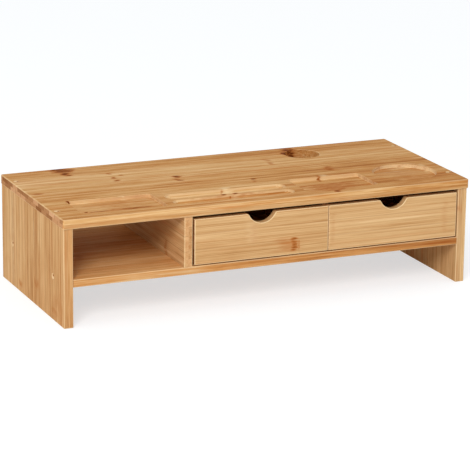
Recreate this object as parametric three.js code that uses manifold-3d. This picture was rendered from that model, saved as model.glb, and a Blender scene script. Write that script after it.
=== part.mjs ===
// A bamboo stand that lifts a screen above a desk.
// Two side panels carry a recessed top board. A shelf runs between them, with an open compartment on its
// left and two drawers on its right. Keyboard space is left under the shelf.
// Lengths are millimetres. X runs to the right, Y to the back and Z up, and the front faces -Y.
// The origin lies on the floor, under the middle of the top board.
import * as THREE from 'three';
import { mergeVertices } from 'three/addons/utils/BufferGeometryUtils.js';
import Module from 'manifold-3d';

const wasm = await Module();
wasm.setup();

// Carcass sizes
const standWidth = 560;
const standDepth = 242;
const standHeight = 139.5;
const topThickness = 12.5;
const panelThickness = 12.5;
const shelfThickness = 10;
const dividerThickness = 11;
const partitionThickness = 9;
const topSideOverhang = 1;
const topFrontOverhang = 2.3;
const underShelfHeight = 51.8;
const compartmentWidth = 147;

// Rounded arrises
const topArris = 1.2;
const topCornerRadius = 2.2;
const boardArris = 1;
const frontArris = 0.9;
const boxArris = 0.8;

// Recesses in the top board, measured from its front left corner
const recessFrontInset = 19;
const trayLength = 62;
const trayDepth = 4.6;
const trayCornerRadius = 5;
const trayFillet = 1;
const leftTrayInset = 33;
const leftTrayWidth = 112;
const rightTrayInset = 336.5;
const rightTrayWidth = 101;
const penGrooveInset = 156.5;
const penGrooveLength = 165;
const penGrooveWidth = 20;
const penGrooveDepth = 5;
const penGrooveLand = 7.5;
const cupRadius = 42;
const cupDepth = 4.8;
const cupFillet = 1.2;
const cupInset = 498.5;
const cupFrontInset = 64;
const cableHoleRadius = 24;
const cableHoleArris = 1;
const cableHoleInset = 414.5;
const cableHoleBackInset = 39.5;

// Drawers
const drawerSideGap = 2.4;
const drawerMiddleGap = 0.8;
const drawerShift = 0.6;
const drawerSetback = 0.5;
const drawerDepth = 170;
const drawerFrontThickness = 10;
const drawerBottomGap = 1.2;
const drawerTopGap = 4.8;
const drawerWallThickness = 8;
const drawerWallDrop = 10.1;
const drawerPanelThickness = 3.5;
const drawerGrooveDepth = 3;
const drawerGrooveLift = 5;
const partitionGap = 1.2;
const notchHalfWidth = 21;
const notchDepth = 13;
const notchFlareRadius = 3.5;

// Fasteners
const screwHeadRadius = 3.7;
const screwHeadHeight = 2.6;
const screwRimHeight = 0.4;
const screwShankRadius = 1.9;
const screwTipLength = 4;
const topScrewLength = 38;
const shelfScrewLength = 36;
const uprightScrewLength = 30;
const screwInset = 42.5;
const plugRadius = 4;
const plugLength = 4;
const dowelRadius = 3;
const dowelLength = 22;
const dowelTopBite = 6.5;
const dowelTrayMargin = 22;
const dowelArris = 0.6;
const drawerDowelRadius = 2;
const drawerDowelLength = 22;
const drawerDowelBite = 6;
const drawerPinHeightShares = { low: 0.22, high: 0.76 };

// Clearances
const fitGap = 0.3;
const overrun = 6;

// Facets per turn, and per quarter turn on the arrises
const roundSegments = 64;
const plugSegments = 16;
const smallSegments = 12;
const arrisSegments = 3;
const cornerSegments = 5;
const flareSegments = 4;
const bowlSegments = 20;
const grooveSegments = 40;
const capSegments = 8;
const weld = 0.0001;

// Levels and faces that several pieces share
const leftFace = -standWidth / 2;
const frontFace = -standDepth / 2;
const backFace = standDepth / 2;
const topUnderside = standHeight - topThickness;
const carcassFront = frontFace + topFrontOverhang;
const carcassDepth = backFace - carcassFront;
const panelOuter = standWidth / 2 - topSideOverhang;
const panelInner = panelOuter - panelThickness;
const shelfTop = underShelfHeight + shelfThickness;
const dividerLeft = -panelInner + compartmentWidth;
const dividerRight = dividerLeft + dividerThickness;
const bayMiddle = (dividerRight + panelInner) / 2;
const drawerFace = carcassFront + drawerSetback;
const partitionFront = drawerFace + drawerFrontThickness + fitGap;
const uprightDowelFront = frontFace + recessFrontInset + trayLength + dowelTrayMargin;
const screwFront = frontFace + screwInset;
const screwBack = backFace - screwInset;

const quarterTurn = Math.PI / 2;
const axisX = new THREE.Vector3(1, 0, 0);
const axisY = new THREE.Vector3(0, 1, 0);
const axisZ = new THREE.Vector3(0, 0, 1);
const down = axisZ.clone().negate();

const bamboo = { color: 0xd3a369, roughness: 0.55, metalness: 0 };
const paleBamboo = { color: 0xdbb47c, roughness: 0.55, metalness: 0 };
const darkBamboo = { color: 0xb98a52, roughness: 0.6, metalness: 0 };
const steel = { color: 0xb9b6ad, roughness: 0.35, metalness: 0.9 };

// A closed solid from a geometry whose shared corners are welded
function solidOf(geometry) {
  const bare = geometry.clone();
  bare.deleteAttribute('normal');
  bare.deleteAttribute('uv');
  const welded = mergeVertices(bare, weld);
  const corners = welded.index.array;
  const kept = [];
  for (let i = 0; i < corners.length; i += 3) {
    const [a, b, c] = [corners[i], corners[i + 1], corners[i + 2]];
    if (a !== b && b !== c && c !== a) kept.push(a, b, c);
  }
  const vertProperties = Float32Array.from(welded.attributes.position.array);
  return new wasm.Manifold(new wasm.Mesh({ numProp: 3, vertProperties, triVerts: Uint32Array.from(kept) }));
}

function geometryOf(solid) {
  const mesh = solid.getMesh();
  const geometry = new THREE.BufferGeometry();
  geometry.setAttribute('position', new THREE.BufferAttribute(mesh.vertProperties, 3));
  geometry.setIndex(new THREE.BufferAttribute(mesh.triVerts, 1));
  geometry.computeVertexNormals();
  return geometry;
}

function cut(solid, cutters) {
  return cutters.reduce((rest, cutter) => rest.subtract(cutter), solid);
}

function blockBetween(low, high) {
  const size = high.clone().sub(low);
  const middle = high.clone().add(low).divideScalar(2);
  const geometry = new THREE.BoxGeometry(size.x, size.y, size.z);
  return solidOf(geometry.translate(middle.x, middle.y, middle.z));
}

// A flat outline pushed along an axis. The outline's x runs along side, and its y along the cross of both.
function prism(outline, length, axis, side, place) {
  const form = { depth: length, bevelEnabled: false, curveSegments: arrisSegments };
  const geometry = new THREE.ExtrudeGeometry(outline, form);
  const turn = new THREE.Matrix4().makeBasis(side, axis.clone().cross(side), axis);
  return solidOf(geometry.applyMatrix4(turn).translate(place.x, place.y, place.z));
}

// A prism whose two end outlines are rounded over by the arris
function softPrism(outline, length, arris, axis, side, place) {
  const geometry = new THREE.ExtrudeGeometry(outline, {
    depth: length - 2 * arris,
    bevelThickness: arris,
    bevelSize: arris,
    bevelOffset: -arris,
    bevelSegments: arrisSegments,
    curveSegments: cornerSegments,
  });
  const turn = new THREE.Matrix4().makeBasis(side, axis.clone().cross(side), axis);
  const start = place.clone().addScaledVector(axis, arris);
  return solidOf(geometry.applyMatrix4(turn).translate(start.x, start.y, start.z));
}

// A profile of [radius, height] pairs, from low to high, revolved about an axis through a place
function turned(profile, axis, place, segments = smallSegments) {
  const points = profile.map(([radius, height]) => new THREE.Vector2(radius, height));
  const geometry = new THREE.LatheGeometry(points, segments);
  const side = Math.abs(axis.x) > 0 ? axisY : axisX;
  const turn = new THREE.Matrix4().makeBasis(side, axis, side.clone().cross(axis));
  return solidOf(geometry.applyMatrix4(turn).translate(place.x, place.y, place.z));
}

// A rectangle from the origin to width and height, with its corners rounded
function roundedRectangle(width, height, radius) {
  const outline = new THREE.Shape();
  outline.absarc(width - radius, radius, radius, -quarterTurn, 0, false);
  outline.absarc(width - radius, height - radius, radius, 0, quarterTurn, false);
  outline.absarc(radius, height - radius, radius, quarterTurn, Math.PI, false);
  outline.absarc(radius, radius, radius, Math.PI, Math.PI + quarterTurn, false);
  outline.closePath();
  return outline;
}

// The points of an arc about a centre, from one angle to another
function arc([x, y], radius, from, to, segments = arrisSegments) {
  return Array.from({ length: segments + 1 }, (_, i) => {
    const angle = from + (i / segments) * (to - from);
    return [x + radius * Math.cos(angle), y + radius * Math.sin(angle)];
  });
}

const group = new THREE.Group();

function addPiece(name, solid, finish) {
  const mesh = new THREE.Mesh(geometryOf(solid), new THREE.MeshStandardMaterial(finish));
  mesh.name = name;
  group.add(mesh);
}

// Screws, plugs and dowels

// A countersunk wood screw, its head's face at the place and its tip ahead along the axis
function screw(length, axis, place, grow = 0) {
  const tip = grow > 0 ? [[0, length + grow], [screwShankRadius + grow, length + grow]]
    : [[0, length], [screwShankRadius, length - screwTipLength]];
  const profile = [
    ...tip,
    [screwShankRadius + grow, screwHeadHeight + grow],
    [screwHeadRadius + grow, screwRimHeight + grow],
    [screwHeadRadius + grow, -grow],
    [0, -grow],
  ].map(([radius, height]) => [radius, -height]);
  return turned(profile, axis.clone().negate(), place);
}

// The hole for a screw, with the well above its head
function screwHole(length, axis, place, wellRadius, wellDepth) {
  const rise = wellDepth + overrun;
  const profile = [[0, -fitGap], [wellRadius, -fitGap], [wellRadius, rise], [0, rise]];
  const well = turned(profile, axis.clone().negate(), place, plugSegments);
  return screw(length, axis, place, fitGap).add(well);
}

// A short round plug that hides a screw, its outer face at the place, pushed in along the axis
function plug(axis, place) {
  const profile = [[0, -plugLength], [plugRadius, -plugLength], [plugRadius, 0], [0, 0]];
  return turned(profile, axis.clone().negate(), place, plugSegments);
}

// A round pin with eased ends, from a place along an axis
function pin(radius, length, arris, axis, place) {
  const profile = [
    [0, 0],
    [radius - arris, 0],
    [radius, arris],
    [radius, length - arris],
    [radius - arris, length],
    [0, length],
  ];
  return turned(profile, axis, place);
}

function pinHole(radius, length, axis, place) {
  const wide = radius + fitGap;
  const end = length + fitGap;
  return turned([[0, -fitGap], [wide, -fitGap], [wide, end], [0, end]], axis, place);
}

// Where the screws stand: the face of each head, just under its plug
const headSink = plugLength + fitGap;
const panelMiddle = (panelOuter + panelInner) / 2;
const shelfMiddle = shelfTop - shelfThickness / 2;
const plugWellRadius = plugRadius + fitGap;
const ends = [{ end: 'front', y: screwFront }, { end: 'back', y: screwBack }];
const sides = [
  { side: 'left', sign: -1, inward: axisX },
  { side: 'right', sign: 1, inward: axisX.clone().negate() },
];
const topScrews = sides.flatMap(({ side, sign }) => ends.map(({ end, y }) => ({
  name: `${side}_${end}`,
  axis: down,
  place: new THREE.Vector3(sign * panelMiddle, y, standHeight - headSink),
})));
const shelfScrews = sides.map(({ side, sign, inward }) => ends.map(({ end, y }) => ({
  name: `${side}_${end}`,
  axis: inward,
  place: new THREE.Vector3(sign * (panelOuter - headSink), y, shelfMiddle),
})));

function pluggedHoles(screws, length) {
  return screws.map(({ axis, place }) => screwHole(length, axis, place, plugWellRadius, headSink));
}

function topScrewHoles() {
  return pluggedHoles(topScrews, topScrewLength);
}

function shelfScrewHoles(hand) {
  return pluggedHoles(shelfScrews[hand], shelfScrewLength);
}

// The two uprights on the shelf: each stands on two screws from below, and has two dowels in the top board
const dowelFoot = topUnderside + dowelTopBite - dowelLength;
const dowelEnds = [{ end: 'front', y: uprightDowelFront }, { end: 'back', y: screwBack }];

function upright(left, thickness, front) {
  const middle = left + thickness / 2;
  return {
    left,
    thickness,
    front,
    screws: ends.map(({ end, y }) => ({ end, place: new THREE.Vector3(middle, y, underShelfHeight) })),
    dowels: dowelEnds.map(({ end, y }) => ({ end, place: new THREE.Vector3(middle, y, dowelFoot) })),
  };
}

const divider = upright(dividerLeft, dividerThickness, carcassFront);
const partition = upright(bayMiddle - partitionThickness / 2, partitionThickness, partitionFront);
const uprights = [divider, partition];

function uprightScrewHoles({ screws }) {
  const wellRadius = screwHeadRadius + fitGap;
  return screws.map(({ place }) => screwHole(uprightScrewLength, axisZ, place, wellRadius, 0));
}

function uprightDowelHoles({ dowels }) {
  return dowels.map(({ place }) => pinHole(dowelRadius, dowelLength, axisZ, place));
}

// Top board and its recesses

function trayCutter(inset, width) {
  const outline = roundedRectangle(width, trayLength, trayCornerRadius);
  const place = new THREE.Vector3(leftFace + inset, frontFace + recessFrontInset, standHeight - trayDepth);
  return softPrism(outline, trayDepth + overrun, trayFillet, axisZ, axisX, place);
}

// A pen groove is the sweep of a ball cutter, so its section is an arc and its ends are parts of a ball
function penGrooveCutter(row) {
  const half = penGrooveWidth / 2;
  const ballRadius = (half * half + penGrooveDepth * penGrooveDepth) / (2 * penGrooveDepth);
  const reach = penGrooveLength - penGrooveWidth;
  const geometry = new THREE.CapsuleGeometry(ballRadius, reach, capSegments, grooveSegments);
  const turn = new THREE.Matrix4().makeBasis(axisY, axisX, down);
  const x = leftFace + penGrooveInset + penGrooveLength / 2;
  const y = frontFace + recessFrontInset + half + row * (penGrooveWidth + penGrooveLand);
  const z = standHeight - penGrooveDepth + ballRadius;
  return solidOf(geometry.applyMatrix4(turn).translate(x, y, z));
}

function cupCutter() {
  const rise = cupDepth + overrun;
  const profile = [
    [0, 0],
    ...arc([cupRadius - cupFillet, cupFillet], cupFillet, -quarterTurn, 0),
    [cupRadius, rise],
    [0, rise],
  ];
  const place = new THREE.Vector3(leftFace + cupInset, frontFace + cupFrontInset, standHeight - cupDepth);
  return turned(profile, axisZ, place, roundSegments);
}

// The cable hole goes right through, and its two rims are eased
function cableHoleCutter() {
  const wide = cableHoleRadius + cableHoleArris;
  const profile = [
    [0, -overrun],
    [wide, -overrun],
    ...arc([wide, cableHoleArris], cableHoleArris, -quarterTurn, -Math.PI),
    ...arc([wide, topThickness - cableHoleArris], cableHoleArris, Math.PI, quarterTurn),
    [wide, topThickness + overrun],
    [0, topThickness + overrun],
  ];
  const place = new THREE.Vector3(leftFace + cableHoleInset, backFace - cableHoleBackInset, topUnderside);
  return turned(profile, axisZ, place, roundSegments);
}

function topBoard() {
  const outline = roundedRectangle(standWidth, standDepth, topCornerRadius);
  const place = new THREE.Vector3(leftFace, frontFace, topUnderside);
  const board = softPrism(outline, topThickness, topArris, axisZ, axisX, place);
  return cut(board, [
    trayCutter(leftTrayInset, leftTrayWidth),
    trayCutter(rightTrayInset, rightTrayWidth),
    penGrooveCutter(0),
    penGrooveCutter(1),
    cupCutter(),
    cableHoleCutter(),
    ...topScrewHoles(),
    ...uprights.flatMap(uprightDowelHoles),
  ]);
}

// Side panels, shelf and uprights

function sidePanel(hand) {
  const outline = roundedRectangle(panelThickness, carcassDepth, boardArris);
  const left = hand === 0 ? -panelOuter : panelInner;
  const panel = prism(outline, topUnderside, axisZ, axisX, new THREE.Vector3(left, carcassFront, 0));
  return cut(panel, [...topScrewHoles(), ...shelfScrewHoles(hand)]);
}

function shelfBoard() {
  const outline = roundedRectangle(carcassDepth, shelfThickness, boardArris);
  const place = new THREE.Vector3(-panelInner, carcassFront, underShelfHeight);
  const board = prism(outline, 2 * panelInner, axisX, axisY, place);
  return cut(board, [...shelfScrewHoles(0), ...shelfScrewHoles(1), ...uprights.flatMap(uprightScrewHoles)]);
}

function uprightBoard(board) {
  const outline = roundedRectangle(board.thickness, backFace - board.front, boardArris);
  const place = new THREE.Vector3(board.left, board.front, shelfTop);
  const blank = prism(outline, topUnderside - shelfTop, axisZ, axisX, place);
  return cut(blank, [...uprightScrewHoles(board), ...uprightDowelHoles(board)]);
}

// Drawers. Each has a front with a finger notch, two side walls, a back and a thin bottom held in grooves.

const drawerWidth = (panelInner - dividerRight - 2 * drawerSideGap - drawerMiddleGap) / 2;
const drawerHeight = topUnderside - shelfTop - drawerBottomGap - drawerTopGap;
const drawerFloor = shelfTop + fitGap;
const drawerWallTop = topUnderside - drawerTopGap - drawerWallDrop;
const drawerWallHeight = drawerWallTop - drawerFloor;
const drawerGrooveTop = drawerFloor + drawerGrooveLift + drawerPanelThickness + 2 * fitGap;
const wallFront = drawerFace + drawerFrontThickness;
const wallBack = drawerFace + drawerDepth;
const innerInset = (partitionThickness - drawerMiddleGap) / 2 + partitionGap;

function drawerPlan(hand) {
  const frontLeft = dividerRight + drawerSideGap + drawerShift + hand * (drawerWidth + drawerMiddleGap);
  const leftInset = hand === 0 ? 0 : innerInset - drawerShift;
  const rightInset = hand === 0 ? innerInset + drawerShift : 0;
  return { frontLeft, left: frontLeft + leftInset, right: frontLeft + drawerWidth - rightInset };
}

// The notch is a bowl that meets the top edge through two small flares
function frontOutline() {
  const middle = drawerWidth / 2;
  const flareLeft = middle - notchHalfWidth;
  const flareRight = middle + notchHalfWidth;
  const bowlRadius = (notchHalfWidth ** 2 + notchDepth ** 2) / (2 * notchDepth) - notchFlareRadius;
  const bowlHeight = drawerHeight - notchDepth + bowlRadius;
  const flareHeight = drawerHeight - notchFlareRadius;
  const lean = Math.atan2(bowlHeight - flareHeight, notchHalfWidth);
  const points = [
    [0, 0],
    [drawerWidth, 0],
    [drawerWidth, drawerHeight],
    ...arc([flareRight, flareHeight], notchFlareRadius, quarterTurn, Math.PI - lean, flareSegments),
    ...arc([middle, bowlHeight], bowlRadius, -lean, lean - Math.PI, bowlSegments).slice(1, -1),
    ...arc([flareLeft, flareHeight], notchFlareRadius, lean, quarterTurn, flareSegments),
    [0, drawerHeight],
  ];
  return new THREE.Shape(points.map(([x, y]) => new THREE.Vector2(x, y)));
}

// The space that the bottom panel and its grooves take, with room around the panel where grow is above zero
function bottomBlock(plan, grow) {
  const reach = drawerGrooveDepth - fitGap + grow;
  const lift = drawerFloor + drawerGrooveLift + fitGap;
  const left = plan.left + drawerWallThickness - reach;
  const right = plan.right - drawerWallThickness + reach;
  return blockBetween(
    new THREE.Vector3(left, wallFront - reach, lift - grow),
    new THREE.Vector3(right, wallBack - drawerWallThickness + reach, lift + drawerPanelThickness + grow));
}

// Pins that join the walls: two along Y at each front corner, and two along X at each back corner
function drawerPins(plan) {
  const half = drawerWallThickness / 2;
  const corners = [
    { corner: 'front_left', axis: axisY, x: plan.left + half, y: wallFront - drawerDowelBite },
    { corner: 'front_right', axis: axisY, x: plan.right - half, y: wallFront - drawerDowelBite },
    { corner: 'back_left', axis: sides[0].inward, x: plan.left + fitGap, y: wallBack - half },
    { corner: 'back_right', axis: sides[1].inward, x: plan.right - fitGap, y: wallBack - half },
  ];
  return Object.entries(drawerPinHeightShares).flatMap(([level, share]) => {
    const z = drawerGrooveTop + share * (drawerWallTop - drawerGrooveTop);
    return corners.map(({ corner, axis, x, y }) => (
      { name: `${corner}_${level}`, axis, place: new THREE.Vector3(x, y, z) }));
  });
}

function drawerPinHoles(plan) {
  return drawerPins(plan).map(({ axis, place }) => (
    pinHole(drawerDowelRadius, drawerDowelLength, axis, place)));
}

function drawerFront(plan) {
  const place = new THREE.Vector3(plan.frontLeft, wallFront, shelfTop + drawerBottomGap);
  const forward = axisY.clone().negate();
  const front = softPrism(frontOutline(), drawerFrontThickness, frontArris, forward, axisX, place);
  return cut(front, [bottomBlock(plan, fitGap), ...drawerPinHoles(plan)]);
}

function drawerWall(plan, left) {
  const outline = roundedRectangle(drawerWallHeight, drawerWallThickness, boxArris);
  const place = new THREE.Vector3(left, wallFront, drawerFloor);
  const wall = prism(outline, wallBack - wallFront, axisY, axisZ, place);
  return cut(wall, [bottomBlock(plan, fitGap), ...drawerPinHoles(plan)]);
}

function drawerBack(plan) {
  const outline = roundedRectangle(drawerWallThickness, drawerWallHeight, boxArris);
  const length = plan.right - plan.left - 2 * drawerWallThickness;
  const left = plan.left + drawerWallThickness;
  const place = new THREE.Vector3(left, wallBack - drawerWallThickness, drawerFloor);
  const wall = prism(outline, length, axisX, axisY, place);
  return cut(wall, [bottomBlock(plan, fitGap), ...drawerPinHoles(plan)]);
}

function addDrawer(name, hand) {
  const plan = drawerPlan(hand);
  addPiece(`${name}_front`, drawerFront(plan), paleBamboo);
  addPiece(`${name}_left_wall`, drawerWall(plan, plan.left), paleBamboo);
  addPiece(`${name}_right_wall`, drawerWall(plan, plan.right - drawerWallThickness), paleBamboo);
  addPiece(`${name}_back`, drawerBack(plan), paleBamboo);
  addPiece(`${name}_bottom`, bottomBlock(plan, 0), bamboo);
  drawerPins(plan).forEach(({ name: corner, axis, place }) => {
    const solid = pin(drawerDowelRadius, drawerDowelLength, dowelArris, axis, place);
    addPiece(`${name}_pin_${corner}`, solid, darkBamboo);
  });
}

function addUprightFasteners(name, board) {
  board.screws.forEach(({ end, place }) => addPiece(
    `${name}_screw_${end}`, screw(uprightScrewLength, axisZ, place), steel));
  board.dowels.forEach(({ end, place }) => addPiece(
    `${name}_dowel_${end}`, pin(dowelRadius, dowelLength, dowelArris, axisZ, place), darkBamboo));
}

// A screw and the plug over it
function addPluggedScrew(name, { name: corner, axis, place }, length) {
  const face = place.clone().addScaledVector(axis, -headSink);
  addPiece(`${name}_screw_${corner}`, screw(length, axis, place), steel);
  addPiece(`${name}_plug_${corner}`, plug(axis, face), darkBamboo);
}

addPiece('top_board', topBoard(), bamboo);
addPiece('side_panel_left', sidePanel(0), bamboo);
addPiece('side_panel_right', sidePanel(1), bamboo);
addPiece('shelf_board', shelfBoard(), bamboo);
addPiece('divider_panel', uprightBoard(divider), bamboo);
addPiece('drawer_partition', uprightBoard(partition), bamboo);

topScrews.forEach((place) => addPluggedScrew('top', place, topScrewLength));
shelfScrews.flat().forEach((place) => addPluggedScrew('shelf', place, shelfScrewLength));
addUprightFasteners('divider', divider);
addUprightFasteners('partition', partition);

addDrawer('left_drawer', 0);
addDrawer('right_drawer', 1);

export default group;
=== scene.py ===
# %% [markdown]
# # A bamboo monitor stand with two drawers
# The construction model already holds every board, plug, screw and drawer wall at its true size and place.
# This lesson gives them their looks: boards with eased edges and routed recesses, and bamboo that has
# strips, fibres, growth rings called knuckles, and end grain. Every length below is in metres, and `mm`
# turns millimetres into metres.

# %% Load the construction model
import math

import bpy
from mathutils import Matrix, Vector


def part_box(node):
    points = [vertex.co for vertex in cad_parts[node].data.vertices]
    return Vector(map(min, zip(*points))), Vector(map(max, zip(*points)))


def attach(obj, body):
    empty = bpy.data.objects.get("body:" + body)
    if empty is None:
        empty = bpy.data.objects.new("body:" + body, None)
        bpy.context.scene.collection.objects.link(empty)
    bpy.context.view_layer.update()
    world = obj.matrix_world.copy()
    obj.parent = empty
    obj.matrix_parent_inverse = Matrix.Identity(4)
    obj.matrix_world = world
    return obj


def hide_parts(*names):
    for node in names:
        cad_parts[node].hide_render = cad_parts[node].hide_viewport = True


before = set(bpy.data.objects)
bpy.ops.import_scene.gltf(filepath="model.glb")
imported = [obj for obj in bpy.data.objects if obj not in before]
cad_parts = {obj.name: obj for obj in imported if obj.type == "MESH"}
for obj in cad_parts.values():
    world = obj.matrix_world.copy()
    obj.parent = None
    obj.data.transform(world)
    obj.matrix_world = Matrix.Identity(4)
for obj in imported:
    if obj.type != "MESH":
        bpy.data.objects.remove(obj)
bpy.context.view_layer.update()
mm = 0.001

# %% [markdown]
# ## The camera
# The stand was photographed from the front left and a little above, through a long lens, so its edges run
# almost parallel. The camera is placed first, because everything is then judged through it. It is built
# from a turn to the right, a dip towards the table and a very small roll.

# %% Camera
camera_place = Vector((-1205.0, -2745.9, 909.4)) * mm
camera_turn = math.radians(23.713)
camera_dip = math.radians(15.807)
camera_roll = math.radians(0.677)
camera_lens = 181.97
sensor_width = 36


def select_none():
    bpy.ops.object.select_all(action="DESELECT")


def make_camera():
    select_none()
    bpy.ops.object.camera_add()
    camera = bpy.context.object
    camera.name = "camera"
    camera.data.sensor_width = sensor_width
    camera.data.lens = camera_lens
    turn = Matrix.Rotation(-camera_turn, 4, "Z")
    dip = Matrix.Rotation(math.pi / 2 - camera_dip, 4, "X")
    roll = Matrix.Rotation(camera_roll, 4, "Z")
    camera.matrix_world = Matrix.Translation(camera_place) @ turn @ dip @ roll
    bpy.context.scene.camera = camera


make_camera()
print("camera at", [round(c, 3) for c in camera_place], "lens", camera_lens)

# %% [markdown]
# ## Building shaders in code
# A shader is a graph of small nodes, and a few helpers keep its recipe short. `add_node` makes one node and
# joins or sets its inputs. `figure` makes one Math node, and `times` is its product. `fade` is a soft step
# from one level to another. `paint` turns a colour picked on screen, from 0 to 255, into the linear light
# values that a shader works in.

# %% Shader helpers


def paint(red, green, blue):
    def light(level):
        share = level / 255
        return share / 12.92 if share <= 0.04045 else ((share + 0.055) / 1.055) ** 2.4

    return (light(red), light(green), light(blue), 1.0)


def empty_tree(owner):
    """The node tree of a new material or world, with nothing in it yet."""
    owner.use_nodes = True
    owner.node_tree.nodes.clear()
    return owner.node_tree


def add_node(tree, kind, inputs=None, **settings):
    node = tree.nodes.new("ShaderNode" + kind)
    for name, value in settings.items():
        setattr(node, name, value)
    for place, value in (inputs or {}).items():
        if isinstance(value, bpy.types.NodeSocket):
            tree.links.new(value, node.inputs[place])
        else:
            node.inputs[place].default_value = value
    return node


def figure(tree, operation, *values):
    node = add_node(tree, "Math", dict(enumerate(values)), operation=operation)
    return node.outputs[0]


def times(tree, first, second):
    return figure(tree, "MULTIPLY", first, second)


def vector_figure(tree, operation, *values):
    node = add_node(tree, "VectorMath", dict(enumerate(values)), operation=operation)
    return node.outputs[0]


def parts_of(tree, vector):
    return add_node(tree, "SeparateXYZ", {0: vector}).outputs


def fade(tree, value, start, end, from_level=0.0, to_level=1.0):
    """from_level before start, to_level after end. A value named _fade holds these four. The node needs no
    clamp, which would make the shader of a board with many knuckles too large."""
    inputs = {"Value": value, "From Min": start, "From Max": end, "To Min": from_level, "To Max": to_level}
    node = add_node(tree, "MapRange", inputs, interpolation_type="SMOOTHSTEP", clamp=False)
    return node.outputs["Result"]


def blend(tree, share, first, second):
    inputs = {0: share, 6: first, 7: second}
    return add_node(tree, "Mix", inputs, data_type="RGBA").outputs[2]


# %% [markdown]
# ## Floor and light
# The stand was shot on a white sweep, so the picture is white all round, with a pale grey shadow under the
# shelf. The floor is a plain white sheet. Where the camera or a reflection sees it, part of its light is
# its own glow, which lifts the shadow to the photograph's pale grey but puts no more light on the bamboo. A
# white sky gives even light, dimmer low down behind the stand, and one large lamp at the front left makes
# the front faces the brightest. From below the floor is clear, so the underside can be looked at too. Light
# also passes it within a hair's breadth of the feet, or their ends would be black.

# %% Floor and light
floor_size = 16
floor_drop = 0.1 * mm
foot_light = 0.6 * mm
floor_white = 0.92
floor_seen = 0.5
floor_glow = (0.585, 0.605, 0.62, 1)
sky_level = 0.72
back_level = 0.35
low_sky = (0.3, 0.8)
back_sky = (0.1, 0.7)
lamp_place = Vector((-1.83, -2.43, 1.9))
lamp_aim = Vector((0, 0, 0.06))
lamp_size = 1.3
lamp_watts = 62


def seen_directly(tree):
    """1 for what the camera, a reflection or a glass sees, 0 for light that falls on things."""
    path = add_node(tree, "LightPath")
    either = figure(tree, "MAXIMUM", path.outputs["Is Camera Ray"], path.outputs["Is Glossy Ray"])
    return figure(tree, "MAXIMUM", either, path.outputs["Is Transmission Ray"])


def make_floor():
    select_none()
    bpy.ops.mesh.primitive_plane_add(size=floor_size, location=(0, 0, -floor_drop))
    floor = bpy.context.object
    floor.name = "floor"
    sweep = bpy.data.materials.new("white_sweep")
    tree = empty_tree(sweep)
    seen = seen_directly(tree)
    white = add_node(tree, "MapRange", {"Value": seen, "To Min": floor_white, "To Max": floor_seen})
    matt = add_node(tree, "BsdfDiffuse", {"Color": white.outputs["Result"]})
    own = add_node(tree, "Emission", {"Color": floor_glow, "Strength": seen})
    both = add_node(tree, "AddShader", {0: matt.outputs[0], 1: own.outputs[0]})
    underneath = add_node(tree, "NewGeometry").outputs["Backfacing"]
    near_foot = figure(tree, "LESS_THAN", add_node(tree, "LightPath").outputs["Ray Length"], foot_light)
    clear = add_node(tree, "BsdfTransparent")
    passes = figure(tree, "MAXIMUM", underneath, near_foot)
    sheet = add_node(tree, "MixShader", {0: passes, 1: both.outputs[0], 2: clear.outputs[0]})
    add_node(tree, "OutputMaterial", {"Surface": sheet.outputs[0]})
    floor.data.materials.append(sweep)


def make_sky():
    world = bpy.data.worlds.new("white_sky")
    bpy.context.scene.world = world
    tree = empty_tree(world)
    towards = parts_of(tree, add_node(tree, "TexCoord").outputs["Generated"])
    low_down = fade(tree, towards["Z"], *low_sky, 1.0, 0.0)
    behind = times(tree, fade(tree, towards["Y"], *back_sky), low_down)
    light = fade(tree, behind, 0.0, 1.0, sky_level, back_level)
    seen = seen_directly(tree)
    strength = add_node(tree, "MapRange", {"Value": seen, "To Min": light, "To Max": 1.0}).outputs["Result"]
    sky = add_node(tree, "Background", {"Color": (1, 1, 1, 1), "Strength": strength})
    tree.links.new(sky.outputs[0], add_node(tree, "OutputWorld").inputs["Surface"])


def make_lamp():
    select_none()
    bpy.ops.object.light_add(type="AREA", location=lamp_place)
    lamp = bpy.context.object
    lamp.name = "front_softbox"
    lamp.data.shape = "DISK"
    lamp.data.size = lamp_size
    lamp.data.energy = lamp_watts
    lamp.rotation_euler = (lamp_aim - lamp_place).to_track_quat("-Z", "Y").to_euler()
    lamp.visible_camera = False


make_floor()
make_sky()
make_lamp()
bpy.context.scene.view_settings.view_transform = "Standard"
print("sky level", sky_level, "lamp", lamp_watts, "W at", [round(c, 2) for c in lamp_place])

# %% [markdown]
# ## Shaping tools
# A board starts as a cube stretched to its size. Its place is then applied to its mesh, so that every
# finished piece sits at the origin, as the construction model's nodes do. `carve` cuts one piece with
# others, as a router or a drill would, and `ease` rounds edges that are sharper than an angle. Material
# slots remember what a face is: plain, an eased edge (an arris), the wall of a tray or groove, of the cable
# hole, or of the cup rest. `polish` turns the slots into a face attribute named arris, by which the bamboo
# shader paints light on these faces: a painted highlight makes arrises and recess walls paler, most of all
# on the cup rest, and a painted shade below zero makes the cable hole's wall browner. `choose` selects by a
# test: the selection is cleared in edit mode and set in object mode, where a script can reach each part of
# a mesh.

# %% Shaping tools
sharp_edge = math.radians(40)
smooth_edge = math.radians(32)
steep = 0.8
# Painted light for each slot: none on plain faces, a painted highlight on arrises, tray and groove walls and
# most of all the cup rest's wall, and a slight painted shade on the cable hole's wall.
painted_light_levels = (0.0, 0.55, 0.67, -0.1, 1.2)
arris_slot = 1
wall_slot = 2
hole_slot = 3
cup_slot = 4
slack = 0.02 * mm
weld = 0.01 * mm


def mode(name):
    bpy.ops.object.mode_set(mode=name)


def select_only(piece):
    select_none()
    piece.select_set(True)
    bpy.context.view_layer.objects.active = piece


def settle(piece, name):
    """Names a new piece and applies its place to its mesh."""
    select_only(piece)
    piece.name = piece.data.name = name
    bpy.ops.object.transform_apply(location=True, rotation=True, scale=True)
    return piece


def add_slots(piece):
    select_only(piece)
    for _ in painted_light_levels:
        bpy.ops.object.material_slot_add()
    return piece


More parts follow.
